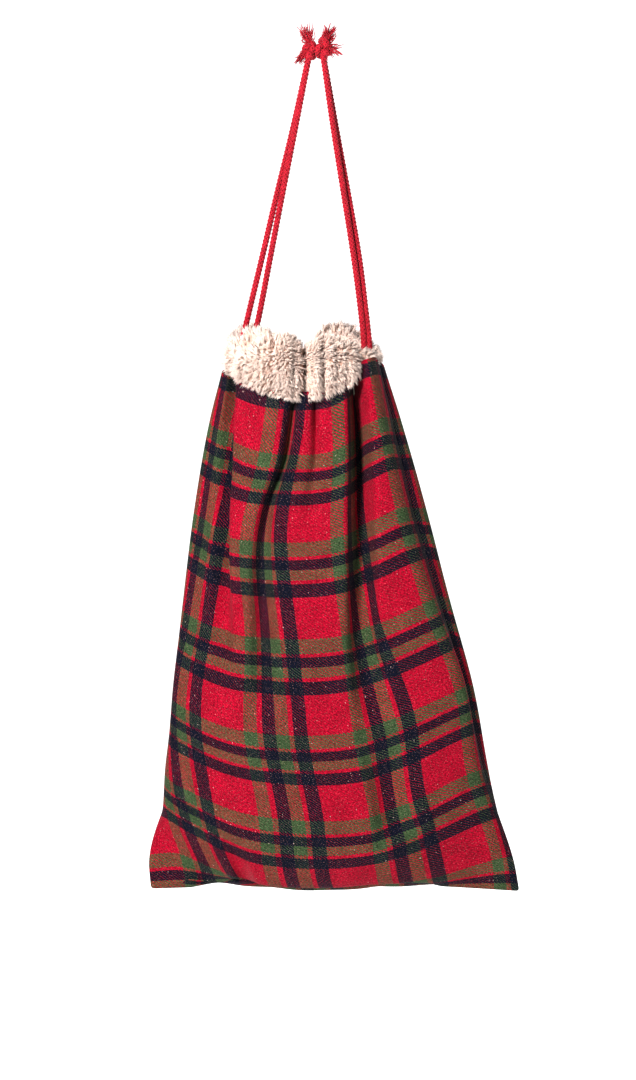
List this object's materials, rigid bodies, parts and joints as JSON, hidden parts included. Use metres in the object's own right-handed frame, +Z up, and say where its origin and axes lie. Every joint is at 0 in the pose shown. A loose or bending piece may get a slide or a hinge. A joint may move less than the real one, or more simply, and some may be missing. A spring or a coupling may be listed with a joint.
{
  "type": "drawstring gift sack",
  "caption": "Hanging tartan drawstring sack with a fur ruffle round its gathered mouth, hung by knotted drawcords.",
  "frame": {"origin": "the hanging point, in the fork of the drawcords just under their knots", "axes": "+Z up, +X to the right of someone facing the sack's front, and the front faces -Y"},
  "size_m": [0.442, 0.0997, 1.0324],
  "materials": {
    "tartan": "brushed twill in a red, green and navy tartan check",
    "fur": "shaggy faux fur with a 15 mm pile in clumped locks",
    "cord": "round braided cotton cord, matt",
    "tape": "plain woven cotton tape"
  },
  "bodies": {
    "knots": {"left_knot": "cord", "right_knot": "cord", "left_upper_fray": "cord", "left_lower_fray": "cord", "right_upper_fray": "cord", "right_lower_fray": "cord"},
    "cords": {"left_outer_leg": "cord", "left_inner_leg": "cord", "right_inner_leg": "cord", "right_outer_leg": "cord"},
    "cord_tails": {"left_outer_tail": "cord", "left_inner_tail": "cord", "right_inner_tail": "cord", "right_outer_tail": "cord"},
    "sack": {"front_panel": "tartan", "back_panel": "tartan", "left_seam_allowance": "tartan", "right_seam_allowance": "tartan", "bottom_seam_allowance": "tartan", "front_ruffle_outside": "fur", "front_ruffle_inside": "fur", "back_ruffle_outside": "fur", "back_ruffle_inside": "fur", "front_channel_tape": "tape", "back_channel_tape": "tape", "left_cord_run": "cord", "right_cord_run": "cord"}
  },
  "joints": [
    {"name": "side_swing", "type": "hinge", "parent": "knots", "child": "cords", "pos_m": [0, 0, 0], "axis": [0, 1, 0], "range_deg": [-15, 15]},
    {"name": "sack_tilt", "type": "hinge", "parent": "cords", "child": "cord_tails", "pos_m": [0, 0, -0.385], "axis": [1, 0, 0], "range_deg": [-9, 9]},
    {"name": "draw", "type": "slide", "parent": "cord_tails", "child": "sack", "axis": [0, 0, -1], "range_m": [0, 0.03]}
  ]
}
